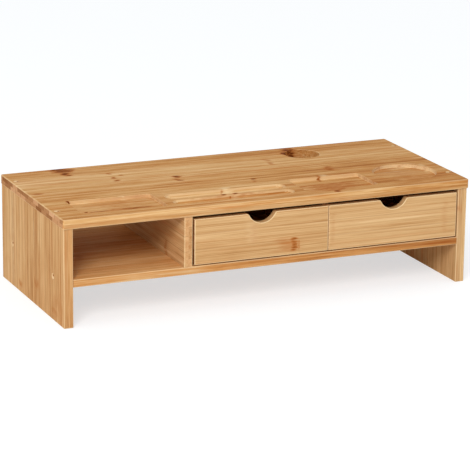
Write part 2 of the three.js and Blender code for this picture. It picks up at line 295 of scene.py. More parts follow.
def blank(name, low, high):
    select_none()
    bpy.ops.mesh.primitive_cube_add(size=1, location=(low + high) / 2, scale=high - low)
    return add_slots(settle(bpy.context.object, name))


def apply_modifier(piece, kind, **settings):
    select_only(piece)
    modifier = piece.modifiers.new("shape", kind)
    for name, value in settings.items():
        setattr(modifier, name, value)
    bpy.ops.object.modifier_apply(modifier=modifier.name)


def carve(piece, *cutters):
    for cutter in cutters:
        apply_modifier(piece, "BOOLEAN", operation="DIFFERENCE", solver="EXACT", object=cutter)
        bpy.data.objects.remove(cutter)


def ease(piece, radius, steps=4):
    apply_modifier(piece, "BEVEL", width=radius, segments=steps, limit_method="ANGLE",
                   angle_limit=sharp_edge, material=arris_slot, use_clamp_overlap=False)


def choose(piece, kind, test):
    """Goes into edit mode with the corners, edges or faces selected whose corner places pass the test."""
    select_only(piece)
    mode("EDIT")
    bpy.ops.mesh.select_mode(type=kind)
    bpy.ops.mesh.select_all(action="DESELECT")
    mode("OBJECT")
    mesh = piece.data
    places = [corner.co for corner in mesh.vertices]
    parts = {"VERT": mesh.vertices, "EDGE": mesh.edges, "FACE": mesh.polygons}[kind]
    for part in parts:
        corners = [part.index] if kind == "VERT" else part.vertices
        part.select = test(*(places[index] for index in corners))
    mode("EDIT")


def round_edges(piece, radius, chosen, steps=4, slot=0):
    choose(piece, "EDGE", chosen)
    bpy.ops.mesh.bevel(offset=radius, segments=steps, affect="EDGES", material=slot)
    mode("OBJECT")


def walls_with_painted_light(cutter, slot=wall_slot):
    """Another slot for the steep faces of a cutter, which the walls that it leaves then have, and with it
    their painted highlight, or on the cable hole's wall a painted shade.
    """
    for face in cutter.data.polygons:
        face.material_index = slot if abs(face.normal.z) < steep else 0


def polish(piece):
    """Smooth shading that keeps flat faces flat, and the arris attribute, which holds each face's painted
    highlight or painted shade, in place of the slots.
    """
    mesh = piece.data
    arris = mesh.attributes.new("arris", "FLOAT", "FACE")
    arris.data.foreach_set("value", [painted_light_levels[face.material_index] for face in mesh.polygons])
    mesh.polygons.foreach_set("material_index", [0] * len(mesh.polygons))
    select_only(piece)
    bpy.ops.object.shade_smooth_by_angle(angle=smooth_edge)
    apply_modifier(piece, "WEIGHTED_NORMAL", keep_sharp=True)
    while len(piece.material_slots) > 1:
        bpy.ops.object.material_slot_remove()
    print(piece.name, "faces:", len(mesh.polygons))


def upright_edge(first, second):
    return abs(first.z - second.z) > abs(first.x - second.x) + abs(first.y - second.y)


pieces = {}


def hand_over(piece, node, body="stand"):
    """The piece is polished and takes the place of its construction node."""
    polish(piece)
    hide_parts(node)
    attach(piece, body)
    pieces[node] = piece


# %% [markdown]
# ## Drills for plugs
# Short round plugs hide the screws that hold the top and the shelf. Each sits in a drilled well that is a
# little wider than it is, which leaves the fine dark ring seen in the photograph. The wells are drilled
# last, after the edges are eased, so their rims stay crisp.

# %% Wells
plug_radius = 3.92 * mm
well_radius = 4.1 * mm
overrun = 2 * mm
plug_sides = 32


def drill(place, axis, radius, depth, sides=plug_sides):
    """A cylinder that goes into the wood along an axis from a place on its face."""
    select_none()
    length = depth + overrun
    middle = place + axis * (depth - overrun) / 2
    turn = axis.to_track_quat("Z", "Y").to_euler()
    bpy.ops.mesh.primitive_cylinder_add(vertices=sides, radius=radius, depth=length,
                                        location=middle, rotation=turn)
    return add_slots(settle(bpy.context.object, "drill"))


def plug_face(node, axis):
    """The middle of a plug's outer face, and the direction into the wood."""
    low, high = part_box(node)
    inward = Vector(axis)
    middle = (low + high) / 2
    half = abs((high - low).dot(inward)) / 2
    return middle - inward * half, inward


into_wood = {"top_plug_left": (0, 0, -1), "top_plug_right": (0, 0, -1),
             "shelf_plug_left": (1, 0, 0), "shelf_plug_right": (-1, 0, 0)}
plug_places = {}
for start, axis in into_wood.items():
    for end in ("_front", "_back"):
        plug_places[start + end] = plug_face(start + end, axis)
plug_low, plug_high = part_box("top_plug_left_front")
plug_length = plug_high.z - plug_low.z


def wells(start):
    return [drill(place, axis, well_radius, plug_length)
            for node, (place, axis) in plug_places.items() if node.startswith(start)]


print("plugs:", len(plug_places), "length in mm:", round(plug_length / mm, 2))

# %% [markdown]
# ## The top board
# The top is one board of glued bamboo strips with a flat tray, two pen grooves, a second tray, a round cup
# rest and a cable hole. It could be drawn as one flat outline with holes, but a router cuts these recesses
# into a finished board, so they are made the same way here: each recess is a cutter, and the cutter's own
# rounding becomes the fillet in the corner of the recess.

# %% Cutters for the trays
recess_front_inset = 19 * mm
tray_length = 62 * mm
tray_depth = 4.6 * mm
tray_corner = 5 * mm
tray_corner_steps = 10
tray_fillet = 1 * mm
left_tray = (33 * mm, 112 * mm)
right_tray = (336.5 * mm, 101 * mm)
top_low, top_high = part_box("top_board")


def round_bottom(piece, radius, slot=0):
    """Rounds the lowest edges, all round."""
    bottom = min(corner.co.z for corner in piece.data.vertices)
    round_edges(piece, radius, lambda a, b: max(a.z, b.z) < bottom + slack, slot=slot)


def tray_cutter(inset, width):
    low = Vector((top_low.x + inset, top_low.y + recess_front_inset, top_high.z - tray_depth))
    high = Vector((low.x + width, low.y + tray_length, top_high.z + overrun))
    cutter = blank("tray_cutter", low, high)
    round_edges(cutter, tray_corner, upright_edge, tray_corner_steps)
    round_bottom(cutter, tray_fillet)
    walls_with_painted_light(cutter)
    return cutter


# %% [markdown]
# A pen groove is the path of a ball-nosed cutter, so its section is an arc and its ends are parts of a
# ball. A sphere is laid with its poles at the groove's ends, and its right half is extruded along the
# groove.

# %% Cutters for the grooves, the cup rest and the cable hole
groove_inset = 156.5 * mm
groove_length = 165 * mm
groove_width = 20 * mm
groove_depth = 5 * mm
groove_land = 7.5 * mm
ball_segments = 64
ball_rings = 32
cup_radius = 42 * mm
cup_depth = 4.8 * mm
cup_fillet = 1.2 * mm
cup_sides = 128
cup_inset = Vector((498.5, 64, 0)) * mm
cable_hole_radius = 24 * mm
cable_hole_sides = 96
cable_hole_inset = Vector((414.5, -39.5, 0)) * mm


def extrude(move):
    bpy.ops.mesh.extrude_region_move(TRANSFORM_OT_translate={"value": move})


def groove_cutter(row):
    ball = ((groove_width / 2) ** 2 + groove_depth**2) / (2 * groove_depth)
    x = top_low.x + groove_inset + groove_width / 2
    y = top_low.y + recess_front_inset + groove_width / 2 + row * (groove_width + groove_land)
    z = top_high.z - groove_depth + ball
    select_none()
    bpy.ops.mesh.primitive_uv_sphere_add(segments=ball_segments, ring_count=ball_rings, radius=ball,
                                         location=(x, y, z), rotation=(0, math.pi / 2, 0))
    cutter = add_slots(settle(bpy.context.object, "groove_cutter"))
    reach = groove_length - groove_width
    choose(cutter, "FACE", lambda *corners: min(corner.x for corner in corners) > x - slack)
    extrude((reach, 0, 0))
    mode("OBJECT")
    walls_with_painted_light(cutter)
    return cutter


def cup_cutter():
    place = Vector((top_low.x, top_low.y, top_high.z)) + cup_inset
    cutter = drill(place, Vector((0, 0, -1)), cup_radius, cup_depth, cup_sides)
    round_bottom(cutter, cup_fillet)
    walls_with_painted_light(cutter, cup_slot)
    return cutter


def cable_hole_cutter():
    place = Vector((top_low.x, top_high.y, top_high.z)) + cable_hole_inset
    depth = top_high.z - top_low.z + overrun
    cutter = drill(place, Vector((0, 0, -1)), cable_hole_radius, depth, cable_hole_sides)
    walls_with_painted_light(cutter, hole_slot)
    return cutter


# %% Top board
top_corner = 2.2 * mm
top_arris = 1.2 * mm
rim_arris = 0.6 * mm


def top_board():
    board = blank("top", top_low, top_high)
    round_edges(board, top_corner, upright_edge, steps=6)
    ease(board, top_arris)
    trays = [tray_cutter(*left_tray), tray_cutter(*right_tray)]
    grooves = [groove_cutter(0), groove_cutter(1)]
    carve(board, *trays, *grooves, cup_cutter(), cable_hole_cutter())
    ease(board, rim_arris, steps=3)
    carve(board, *wells("top"))
    hand_over(board, "top_board")


top_board()

# %% [markdown]
# ## Side panels, shelf and uprights
# These boards are plain, and what makes them look real is the small round on each edge that can be touched.
# Edges that stand against another board stay sharp, because a maker sands a board before gluing it but
# leaves its joints crisp. The side panels are also rounded at the foot.

# %% Plain boards
board_arris = 1 * mm


def panel(name, node, start=None, foot=False):
    low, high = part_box(node)
    board = blank(name, low, high)
    round_edges(board, board_arris, upright_edge, slot=arris_slot)
    if foot:
        round_bottom(board, board_arris, arris_slot)
    if start:
        carve(board, *wells(start))
    hand_over(board, node)


panel("left_panel", "side_panel_left", "shelf_plug_left", foot=True)
panel("right_panel", "side_panel_right", "shelf_plug_right", foot=True)
panel("divider", "divider_panel")
panel("partition", "drawer_partition")

# %% Shelf
head_well = 3.95 * mm
head_well_depth = 2.8 * mm


def lengthwise_edge(first, second):
    return abs(first.x - second.x) > abs(first.y - second.y) + abs(first.z - second.z)


def upright_screws():
    starts = ("divider_screw", "partition_screw")
    return [node for node in sorted(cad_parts) if node.startswith(starts)]


def screw_place(node):
    """The middle of a screw's head, at the underside of the shelf."""
    low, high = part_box(node)
    return Vector(((low.x + high.x) / 2, (low.y + high.y) / 2, low.z))


def shelf():
    low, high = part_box("shelf_board")
    board = blank("shelf", low, high)
    round_edges(board, board_arris, lengthwise_edge, slot=arris_slot)
    for node in upright_screws():
        carve(board, drill(screw_place(node), Vector((0, 0, 1)), head_well, head_well_depth))
    hand_over(board, "shelf_board")


shelf()

# %% [markdown]
# ## Drawer fronts
# Each drawer is pulled by a notch in the top edge of its front: a bowl that runs out into the edge through
# two small flares. Such an outline is drawn best with a pen. The pen is a single vertex, which `extrude`
# drags along straight lines and `spin` swings along arcs. The closed line is filled, pushed to the front's
# thickness and eased all round, and the back gets a groove for the drawer's thin bottom.

# %% A pen for outlines


def pen_down(name, place):
    select_none()
    bpy.ops.mesh.primitive_plane_add(size=mm, location=place)
    drawing = settle(bpy.context.object, name)
    mode("EDIT")
    bpy.ops.mesh.select_mode(type="VERT")
    bpy.ops.mesh.select_all(action="SELECT")
    bpy.ops.mesh.merge(type="CENTER")
    return drawing


def pen_line(across, up):
    extrude((across, 0, up))


def pen_arc(centre, angle, steps):
    """Counterclockwise as seen from the front."""
    bpy.ops.mesh.spin(steps=steps, angle=angle, center=centre, axis=(0, 1, 0))


def weld_drawing():
    bpy.ops.mesh.select_all(action="SELECT")
    bpy.ops.mesh.remove_doubles(threshold=weld)


def pen_up():
    """Turns all faces of the drawn shape outwards."""
    bpy.ops.mesh.select_all(action="SELECT")
    bpy.ops.mesh.normals_make_consistent(inside=False)
    mode("OBJECT")


# %% Drawer fronts
front_arris = 0.9 * mm
notch_half_width = 21 * mm
notch_depth = 13 * mm
flare_radius = 3.5 * mm
flare_steps = 8
bowl_steps = 40
bottom_groove_room = 0.3 * mm


def front_outline(name, low, high):
    middle = (low.x + high.x) / 2
    bowl_radius = (notch_half_width**2 + notch_depth**2) / (2 * notch_depth) - flare_radius
    bowl_centre = Vector((middle, high.y, high.z - notch_depth + bowl_radius))
    flare_right = Vector((middle + notch_half_width, high.y, high.z - flare_radius))
    flare_left = Vector((middle - notch_half_width, high.y, high.z - flare_radius))
    lean = math.atan2(bowl_centre.z - flare_right.z, notch_half_width)
    drawing = pen_down(name, Vector((low.x, high.y, low.z)))
    pen_line(high.x - low.x, 0)
    pen_line(0, high.z - low.z)
    pen_line(flare_right.x - high.x, 0)
    pen_arc(flare_right, math.pi / 2 - lean, flare_steps)
    pen_arc(bowl_centre, 2 * lean - math.pi, bowl_steps)
    pen_arc(flare_left, math.pi / 2 - lean, flare_steps)
    pen_line(low.x - flare_left.x, 0)
    pen_line(0, low.z - high.z)
    weld_drawing()
    bpy.ops.mesh.edge_face_add()
    extrude((0, low.y - high.y, 0))
    pen_up()
    return drawing


def bottom_groove(drawer, front_back):
    """The cutter for the groove that holds the front edge of the drawer's bottom."""
    low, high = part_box(f"{drawer}_bottom")
    room = Vector((1, 1, 1)) * bottom_groove_room
    high.y = front_back + overrun
    return blank("groove", low - room, high + room)


def drawer_front(drawer):
    node = f"{drawer}_front"
    low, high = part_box(node)
    front = add_slots(front_outline(f"{drawer}_face", low, high))
    ease(front, front_arris)
    carve(front, bottom_groove(drawer, high.y))
    hand_over(front, node, drawer)


for drawer in ("left_drawer", "right_drawer"):
    drawer_front(drawer)

# %% [markdown]
# ## Plugs and screw heads
# A plug is a slice of a bamboo rod, sanded flush, with a rim that has just lost its sharpness. It is
# modelled once, and each well gets a copy with a mesh of its own. The screws under the shelf are the only
# ones that show, and are copies too: countersunk, with a cross recess that is cut by two tapered blades.

# %% Plugs
plug_arris = 0.25 * mm


def copy_of(piece):
    copy = piece.copy()
    copy.data = piece.data.copy()
    bpy.context.scene.collection.objects.link(copy)
    return copy


def first_plug():
    select_none()
    bpy.ops.mesh.primitive_cylinder_add(vertices=plug_sides, radius=plug_radius, depth=plug_length)
    piece = add_slots(settle(bpy.context.object, "plug"))
    ease(piece, plug_arris, steps=2)
    return piece


def plugs():
    first = first_plug()
    for node, (place, axis) in plug_places.items():
        plug = copy_of(first)
        plug.location = place + axis * plug_length / 2
        plug.rotation_euler = axis.to_track_quat("-Z", "Y").to_euler()
        settle(plug, node.replace("plug", "stopper"))
        hand_over(plug, node)
    bpy.data.objects.remove(first)


plugs()

# %% Screws under the shelf
head_radius = 3.7 * mm
shank_radius = 1.9 * mm
recess_reach = 2.3 * mm
recess_width = 0.9 * mm
recess_depth = 1.7 * mm
screw_length = 30 * mm
head_height = 2.6 * mm
head_rim_share = 0.15
tip_length = 4 * mm
blade_tip_shares = (0.4, 0.7, 1)
lathe_steps = 32


def blade(place, turn):
    """One tapered blade of the driver that leaves the cross recess."""
    half = Vector((recess_reach, recess_width / 2, 0))
    low = place - half - Vector((0, 0, overrun))
    high = place + half + Vector((0, 0, recess_depth))
    tool = blank("blade", low, high)
    choose(tool, "VERT", lambda corner: corner.z > place.z)
    bpy.ops.transform.resize(value=blade_tip_shares, center_override=place)
    bpy.ops.mesh.select_all(action="SELECT")
    bpy.ops.transform.rotate(value=turn, orient_axis="Z", center_override=place)
    mode("OBJECT")
    return tool


def first_screw(place):
    """A countersunk screw with its head's face at the place and its tip above it, turned on a lathe."""
    drawing = pen_down("screw", place)
    pen_line(head_radius, 0)
    pen_line(0, head_height * head_rim_share)
    pen_line(shank_radius - head_radius, head_height * (1 - head_rim_share))
    pen_line(0, screw_length - head_height - tip_length)
    pen_line(-shank_radius, tip_length)
    bpy.ops.mesh.select_all(action="SELECT")
    bpy.ops.mesh.spin(steps=lathe_steps, angle=2 * math.pi, center=place, axis=(0, 0, 1))
    weld_drawing()
    pen_up()
    carve(drawing, blade(place, 0), blade(place, math.pi / 2))
    return drawing


def shelf_screws():
    nodes = upright_screws()
    first = first_screw(screw_place(nodes[0]))
    for number, node in enumerate(nodes):
        screw = copy_of(first)
        screw.location = screw_place(node) - screw_place(nodes[0])
        settle(screw, f"shelf_screw_{number + 1}")
        hand_over(screw, node)
    bpy.data.objects.remove(first)


shelf_screws()

# %% [markdown]
# ## Bamboo, seen as a maker sees it
# A bamboo board is glued up from strips about 20 mm wide, mostly in two layers. Each strip has its own
# tone, runs of long fibres, and every 25 cm or so a knuckle, where the cane had a node: a dark wavy band
# across the strip. Such a board could be painted on its faces, but its edges would not fit then. Here the
# wood is a solid block of pattern in space, so faces, edges and end grain all cut through the same strips.
# The pattern works in grain space, in millimetres: x along the grain, y across the strips and z through
# the layers.

# %% Grain space
grain_axes = {"flat": ("X", "Y", "Z"), "standing": ("Z", "Y", "X"), "front": ("X", "Z", "Y"),
              "inward": ("Y", "Z", "X"), "bottom": ("Y", "X", "Z")}


def grain_space(tree, axes, corner):
    """Object coordinates from a corner of the board, in millimetres, turned to the grain, and how far the
    surface faces along the grain, as end grain does, and across it, as the narrow side of a strip does."""
    coordinates = add_node(tree, "TexCoord")
    parts = parts_of(tree, vector_figure(tree, "SUBTRACT", coordinates.outputs["Object"], corner))
    turned = add_node(tree, "CombineXYZ", {n: parts[axis] for n, axis in enumerate(axes)}).outputs[0]
    facing = parts_of(tree, coordinates.outputs["Normal"])
    end, side = (figure(tree, "ABSOLUTE", facing[axis]) for axis in axes[:2])
    return vector_figure(tree, "MULTIPLY", turned, (1 / mm, 1 / mm, 1 / mm)), end, side


def new_group(name, values, results):
    """A node group that takes Grain, a place in grain space, and some values."""
    group = bpy.data.node_groups.new(name, "ShaderNodeTree")
    group.interface.new_socket("Grain", in_out="INPUT", socket_type="NodeSocketVector")
    for way, labels in (("INPUT", values), ("OUTPUT", results)):
        for label in labels:
            group.interface.new_socket(label, in_out=way, socket_type="NodeSocketFloat")
    return group, group.nodes.new("NodeGroupInput").outputs, group.nodes.new("NodeGroupOutput").inputs


def noise(tree, place, scale, detail):
    return add_node(tree, "TexNoise", {"Vector": place, "Scale": scale, "Detail": detail}).outputs["Fac"]


def streaks(tree, grain, size, shift=None):
    """Noise drawn out along the grain. Its size is the streaks' length and width in millimetres and their
    detail, and a shift moves it."""
    length, width, detail = size
    place = vector_figure(tree, "MULTIPLY", grain, (1 / length, 1 / width, 1 / width))
    if shift is not None:
        place = vector_figure(tree, "ADD", place, shift)
    return noise(tree, place, 1.0, detail)


# %% [markdown]
# The strips group gives the wood's tone from 0, dark, to 1, pale. A strip's number and layer and the
# board's seed feed white noise, which always gives the same random value for them, so a strip keeps its
# tone over its whole length. The value also shifts the strip's streaks, so that they end at its glue line.
# A knuckle is a blotch of short dark fibres that bends into a shallow V across its strip. Lines are the
# fibres inside it, and fray and sway move its edge.

# %% Streaks and knuckles
drift_streaks = (240, 6, 2)
cloud_streaks = (45, 9, 2)
fibre_streaks = (60, 1, 3)
hair_streaks = (14, 0.35, 1)
warm_streaks = (160, 4.5, 3)
line_streaks = (12, 1.6, 3)
fray_streaks = (9, 2.4, 2)
sway_streaks = (40, 9, 1)
near_shift = (40, 40, 40)
far_shift = (90, 90, 90)
fibre_weight = 1.15
hair_weight = 0.5
sway_weight = 1.3
warm_band = (0.5, 0.72)
line_fade = (0.35, 0.62, 0.5, 1.0)
layer_stagger = 0.43
glue_width = 0.05
knuckle_spacing = 255
knuckle_reach = 10.0
knuckle_bend = 6.0
knuckle_fray = 9.0
blotch_fade = (0.3, 1.0, 0.65, 0.0)
core_fade = (0.0, 0.6, 0.45, 0.0)


def knuckle_shape(tree, along, lines, reach):
    """Stained fibres within reach of a knuckle's middle, and darker ones at its middle."""
    away = figure(tree, "DIVIDE", figure(tree, "ABSOLUTE", along), reach)
    blotch = fade(tree, away, *blotch_fade)
    core = fade(tree, away, *core_fade)
    return times(tree, figure(tree, "ADD", blotch, core), lines)


def centred(tree, value):
    return figure(tree, "SUBTRACT", value, 0.5)


def strip_key(group, given, parts):
    """A strip's place across the layers, and its three chances with the vector that holds them."""
    layer = figure(group, "FLOOR", figure(group, "DIVIDE", parts["Z"], given["Layer"]))
    stagger = times(group, layer, layer_stagger)
    row = figure(group, "ADD", figure(group, "DIVIDE", parts["Y"], given["Strip"]), stagger)
    pair = {"X": figure(group, "FLOOR", row), "Y": layer, "Z": given["Seed"]}
    key = add_node(group, "CombineXYZ", pair).outputs[0]
    chance = add_node(group, "TexWhiteNoise", {"Vector": key}, noise_dimensions="3D").outputs["Color"]
    return row, add_node(group, "SeparateColor", {0: chance}).outputs, chance


def fibre_tone(group, given, chances, near, far):
    """The tone of a place in the wood, its warmth, and the fibres alone."""
    grain = given["Grain"]
    drift = streaks(group, grain, drift_streaks, near)
    cloud = streaks(group, grain, cloud_streaks, far)
    fibre = streaks(group, grain, fibre_streaks, near)
    hair = streaks(group, grain, hair_streaks)
    weights = ((drift, given["Drift"]), (cloud, given["Cloud"]), (fibre, fibre_weight), (hair, hair_weight))
    tone = figure(group, "MULTIPLY_ADD", centred(group, chances["Red"]), given["Spread"], 0.5)
    for change, weight in weights:
        tone = figure(group, "MULTIPLY_ADD", centred(group, change), weight, tone)
    warm = fade(group, streaks(group, grain, warm_streaks, far), *warm_band)
    return tone, warm, fibre


def own_knuckles(group, parts, row, chances, lines, fray):
    """The knuckles that a strip has by itself, one in each spacing."""
    turns = figure(group, "ADD", figure(group, "DIVIDE", parts["X"], knuckle_spacing), chances["Green"])
    along = times(group, centred(group, figure(group, "FRACT", turns)), knuckle_spacing)
    along = figure(group, "MULTIPLY_ADD", fray, knuckle_fray, along)
    bend = figure(group, "ABSOLUTE", centred(group, figure(group, "FRACT", row)))
    along = figure(group, "MULTIPLY_ADD", bend, knuckle_bend, along)
    strength = times(group, chances["Blue"], chances["Blue"])
    return times(group, knuckle_shape(group, along, lines, knuckle_reach), strength)


# %% Strips group


def make_strips_group():
    values = ("Strip", "Layer", "Seed", "Spread", "Drift", "Cloud")
    results = ("Tone", "Warm", "Knuckle", "Glue", "Fibre", "Chance", "Lines", "Fray")
    group, given, result = new_group("bamboo_strips", values, results)
    parts = parts_of(group, given["Grain"])
    row, chances, chance = strip_key(group, given, parts)
    near, far = (vector_figure(group, "MULTIPLY", chance, shift) for shift in (near_shift, far_shift))
    tone, warm, fibre = fibre_tone(group, given, chances, near, far)
    glue = fade(group, figure(group, "PINGPONG", row, 0.5), 0.0, glue_width, 1.0, 0.0)
    lines = fade(group, streaks(group, given["Grain"], line_streaks), *line_fade)
    fray = centred(group, streaks(group, given["Grain"], fray_streaks))
    sway = centred(group, streaks(group, given["Grain"], sway_streaks))
    fray = figure(group, "MULTIPLY_ADD", sway, sway_weight, fray)
    knuckle = own_knuckles(group, parts, row, chances, lines, fray)
    made = (tone, warm, knuckle, glue, fibre, chances["Red"], lines, fray)
    for value, socket in zip(made, list(result)):
        group.links.new(value, socket)
    return group


strips_group = make_strips_group()
print("strips group nodes:", len(strips_group.nodes))

# %% [markdown]
# A few knuckles in the photograph are large and dark, and give this stand its face. They are placed one by
# one with a second group, which frays a knuckle's ends along the grain and keeps it between the sides of
# its strip.

# %% Knuckles and painted light placed one by one
# The same group also places patches of painted shade in recesses and corners, and pale patches, many of
# which are painted highlights.
side_fray = 0.3
side_fade = (0.6, 1.15, 1.0, 0.0)


def make_mark_group():
    values = ("Lines", "Fray", "Along", "Across", "Half", "Reach", "Strength", "Lean")
    group, given, result = new_group("knuckle_and_painted_light_mark", values, ("Mark",))
    parts = parts_of(group, given["Grain"])
    fray = times(group, given["Fray"], given["Reach"])
    along = figure(group, "ADD", figure(group, "SUBTRACT", parts["X"], given["Along"]), fray)
    across = figure(group, "SUBTRACT", parts["Y"], given["Across"])
    along = figure(group, "SUBTRACT", along, times(group, across, given["Lean"]))
    over = figure(group, "DIVIDE", figure(group, "ABSOLUTE", across), given["Half"])
    inside = fade(group, figure(group, "MULTIPLY_ADD", given["Fray"], side_fray, over), *side_fade)
    shape = knuckle_shape(group, along, given["Lines"], given["Reach"])
    mark = times(group, times(group, shape, inside), given["Strength"])
    group.links.new(mark, result["Mark"])
    return group


mark_group = make_mark_group()
print("mark group nodes:", len(mark_group.nodes))

# %% [markdown]
# ## The bamboo finish
# The tone picks a colour from a ramp that runs from dark honey to pale straw, and warm streaks pull it
# towards orange. Knuckles stain it and glue lines leave a fine shadow. Arrises and the walls of the recesses
# get a painted highlight that makes them paler, and the cable hole's wall a painted shade that makes it
# browner. End grain is another picture of the same strips: each has its own brown, with small dots where the
# fibre bundles are cut. A satin lacquer seals it all: the shine varies a little with the fibres, and a very
# small bump catches the light. Each board changes some values of a common wood. Spread is how far its
# strips differ, drift and cloud weigh long and short changes of tone, and side is added on a strip's narrow
# side. Warmth, knots, edges and end_share are the strengths of warm streaks, of a strip's own knuckles, of
# the painted highlight on arrises and of end grain.

# %% Bamboo colours
knuckle_and_shade_stain = paint(176, 106, 50)
knuckle_and_shade_dark = paint(110, 54, 16)
ember = paint(186, 108, 44)
seam_brown = paint(140, 86, 46)
highlight_pale = paint(238, 212, 166)
tone_stops = (0.0, 0.3, 0.5, 0.7, 1.0)
end_stops = (0.0, 0.45, 0.6, 1.0)


def ramp(*colours, stops=tone_stops):
    return [(stop, paint(*colour)) for stop, colour in zip(stops, colours)]


honey_ramp = ramp((158, 94, 42), (187, 130, 72), (204, 153, 95), (214, 171, 117), (231, 195, 145))
amber_ramp = ramp((158, 86, 34), (187, 129, 72), (210, 149, 86), (220, 170, 113), (232, 198, 150))
tan_ramp = ramp((166, 112, 64), (192, 143, 92), (206, 161, 109), (215, 173, 122), (230, 193, 146))
straw_ramp = ramp((160, 112, 62), (190, 145, 95), (205, 164, 114), (214, 176, 127), (234, 201, 154))
end_ramp = ramp((146, 94, 54), (182, 131, 87), (200, 148, 103), (218, 169, 126), stops=end_stops)
common_wood = {"ramp": honey_ramp, "seed": 0.0, "strip": 20.0, "layer": 6.25, "stretch": 1.0, "spread": 0.3,
               "drift": 1.1, "cloud": 0.4, "warmth": 0.35, "knots": 0.5, "edges": 0.8, "side": 0.0,
               "end_share": 1.0, "tones": None, "slope": None, "marks": (), "pales": ()}


def colour_ramp(tree, value, stops, interpolation="LINEAR"):
    node = add_node(tree, "ValToRGB", {0: value})
    node.color_ramp.interpolation = interpolation
    marks = node.color_ramp.elements
    marks[0].position, marks[0].color = stops[0]
    marks[1].position, marks[1].color = stops[-1]
    for position, colour in stops[1:-1]:
        marks.new(position).color = colour
    return node.outputs["Color"]


def own_tones(tree, grain, strip, tones):
    """Steps from strip to strip, from the grain corner on."""
    share = figure(tree, "DIVIDE", parts_of(tree, grain)["Y"], strip * len(tones))
    levels = [(number / len(tones), (tone, tone, tone, 1)) for number, tone in enumerate(tones)]
    return centred(tree, colour_ramp(tree, share, levels, "CONSTANT"))


# %% Marks and end grain
bundle_size = 1.3
bundle_flow = 0.02
dot_fade = (0.15, 0.4, 0.5, 0.0)
end_glue_share = 0.5


def marks_over(tree, grain, strips, marks, ground):
    """The strongest of the ground and the marks."""
    for along, across, half, reach, strength, *lean in marks:
        values = {"Grain": grain, "Lines": strips["Lines"], "Fray": strips["Fray"], "Along": along,
                  "Across": across, "Half": half, "Reach": reach, "Strength": strength, "Lean": sum(lean)}
        mark = add_node(tree, "Group", values, node_tree=mark_group).outputs["Mark"]
        ground = figure(tree, "MAXIMUM", ground, mark)
    return ground


def end_grain(tree, grain, strips):
    """The picture on a cut end: one brown for each strip, and dots that run through along the grain."""
    ground = colour_ramp(tree, strips["Chance"], end_ramp)
    flat = vector_figure(tree, "MULTIPLY", grain, (bundle_flow, 1, 1))
    bundle = add_node(tree, "TexVoronoi", {"Vector": flat, "Scale": 1 / bundle_size}, feature="F1")
    dot = fade(tree, bundle.outputs["Distance"], *dot_fade)
    dotted = blend(tree, dot, ground, seam_brown)
    glue = times(tree, strips["Glue"], end_glue_share)
    return blend(tree, glue, dotted, knuckle_and_shade_dark)


# %% Bamboo shader
plain_fade = (0.0, 0.1, 1.0, 0.0)
side_facing = (0.6, 0.9)
end_facing = (0.92, 0.99)
glue_share = 0.22
stain_band = (0.0, 0.7)
dark_band = (0.45, 1.15)
satin_fade = (0.3, 0.7, 0.76, 0.62)
end_roughness = 0.12
glue_sink = 0.6
knuckle_rise = 0.7
relief = 0.35
relief_depth = 0.12 * mm
lacquer_specular = 0.04


def wood_tone(tree, grain, strips, side, wood):
    """The strips' tone with the changes that the board has of its own."""
    tone = figure(tree, "MULTIPLY_ADD", side, wood["side"], strips["Tone"])
    if wood["tones"]:
        tone = figure(tree, "ADD", tone, own_tones(tree, grain, wood["strip"], wood["tones"]))
    if wood["slope"]:
        start, end, width, change = wood["slope"]
        place = parts_of(tree, grain)
        within = fade(tree, place["Y"], width, width + 1.0, change, 0.0)
        tone = figure(tree, "MULTIPLY_ADD", fade(tree, place["X"], start, end), within, tone)
    return tone


def finish_surface(tree, colour, rough, height, strength, depth, label, constant):
    """The shader with its bump, and one value that is the same all over on its own socket."""
    bump = add_node(tree, "Bump", {"Strength": strength, "Distance": depth, "Height": height})
    surface = {"Base Color": colour, "Roughness": rough, "Normal": bump.outputs[0], label: constant}
    shader = add_node(tree, "BsdfPrincipled", surface)
    add_node(tree, "OutputMaterial", {"Surface": shader.outputs[0]})


def lacquer(tree, strips, colour, end, dark):
    """The surface: its shine varies with the fibres, and fibres, glue lines and knuckles stand in relief."""
    rough = fade(tree, strips["Fibre"], *satin_fade)
    rough = figure(tree, "MULTIPLY_ADD", end, end_roughness, rough)
    height = figure(tree, "SUBTRACT", strips["Fibre"], times(tree, strips["Glue"], glue_sink))
    height = figure(tree, "ADD", height, times(tree, dark, knuckle_rise))
    finish_surface(tree, colour, rough, height, relief, relief_depth, "Specular IOR Level", lacquer_specular)


